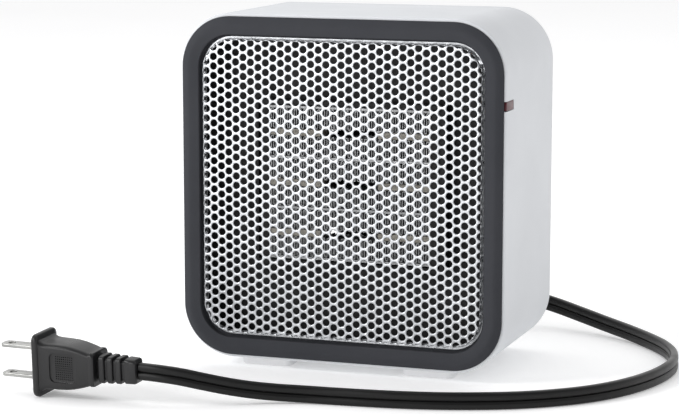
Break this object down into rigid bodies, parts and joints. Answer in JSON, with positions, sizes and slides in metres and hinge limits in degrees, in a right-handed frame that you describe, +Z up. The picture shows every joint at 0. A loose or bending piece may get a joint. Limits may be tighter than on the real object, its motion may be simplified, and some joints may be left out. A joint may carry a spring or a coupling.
{
  "type": "ceramic space heater",
  "caption": "Small rounded-square tabletop heater: white sleeve, charcoal bezel, perforated metal front over a finned ceramic element and fan, with a flat mains cord and plug.",
  "frame": {"origin": "on the ground, below the middle of the body's box without the cord, its boot and its plug", "axes": "+Z up, the longest side; -Y is the front with the grille and +Y the rear cover, the shortest side; +X to the right of someone facing the front"},
  "size_m": [0.2643, 0.2183, 0.1571],
  "materials": {
    "housing_white": "satin white ABS",
    "bezel_charcoal": "satin charcoal ABS",
    "grille_silver": "silver-painted perforated steel",
    "lens_red": "dark red translucent lens",
    "lamp_glass": "clear neon lamp",
    "foot_white": "soft white rubber",
    "duct_black": "heat-proof black plastic",
    "cap_black": "phenolic",
    "element_aluminium": "bare aluminium",
    "ptc_ceramic": "unglazed grey-tan ceramic",
    "plated_steel": "plated",
    "motor_steel": "satin",
    "fan_black": "moulded",
    "switch_black": "satin moulded",
    "nylon_cream": "natural nylon",
    "lead_black": "wire sleeving",
    "lead_red": "wire sleeving",
    "cord_black": "soft satin PVC",
    "plug_black": "moulded satin PVC",
    "blade_nickel": "nickel-plated brass",
    "screw_steel": "zinc-plated"
  },
  "bodies": {
    "housing": {"housing_shell": "housing_white", "rear_cover": "housing_white", "front_bezel": "bezel_charcoal", "front_grille": "grille_silver", "indicator_lens": "lens_red", "indicator_lamp": "lamp_glass", "foot_front_left": "foot_white", "foot_front_right": "foot_white", "foot_rear_left": "foot_white", "foot_rear_right": "foot_white", "air_duct": "duct_black", "fan_shroud": "duct_black", "element_cap_left": "cap_black", "element_cap_right": "cap_black", "thermal_cutoff": "plated_steel", "thermal_fuse": "plated_steel", "fan_motor": "motor_steel", "switch_body": "switch_black", "tip_over_switch": "nylon_cream", "terminal_block": "nylon_cream", "lead_switch": "lead_black", "lead_cutoff": "lead_red", "lead_fuse": "lead_red", "cord_boot": "cord_black", "power_cord": "cord_black", "plug_body": "plug_black", "plug_blade_upper": "blade_nickel", "plug_blade_lower": "blade_nickel", "contact_plate_1": "element_aluminium", "rear_screw_1": "screw_steel", "contact_plate_2": "element_aluminium", "rear_screw_2": "screw_steel", "contact_plate_3": "element_aluminium", "rear_screw_3": "screw_steel", "contact_plate_4": "element_aluminium", "rear_screw_4": "screw_steel", "fin_pack_1": "element_aluminium", "fin_pack_2": "element_aluminium", "fin_pack_3": "element_aluminium", "fin_pack_4": "element_aluminium", "fin_pack_5": "element_aluminium", "fin_pack_6": "element_aluminium", "ptc_stone_1_left": "ptc_ceramic", "ptc_stone_1_right": "ptc_ceramic", "ptc_stone_2_left": "ptc_ceramic", "ptc_stone_2_right": "ptc_ceramic", "ptc_stone_3_left": "ptc_ceramic", "ptc_stone_3_right": "ptc_ceramic"},
    "fan": {"fan_impeller": "fan_black", "motor_shaft": "motor_steel", "hub_clip": "plated_steel"},
    "rocker": {"power_rocker": "switch_black"}
  },
  "joints": [
    {"name": "fan_spin", "type": "hinge", "parent": "housing", "child": "fan", "pos_m": [0, 0, 0.0822], "axis": [0, 1, 0], "continuous": true},
    {"name": "power_switch", "type": "hinge", "parent": "housing", "child": "rocker", "pos_m": [0.044, 0.037, 0.133], "axis": [1, 0, 0], "range_deg": [0, 14]}
  ]
}
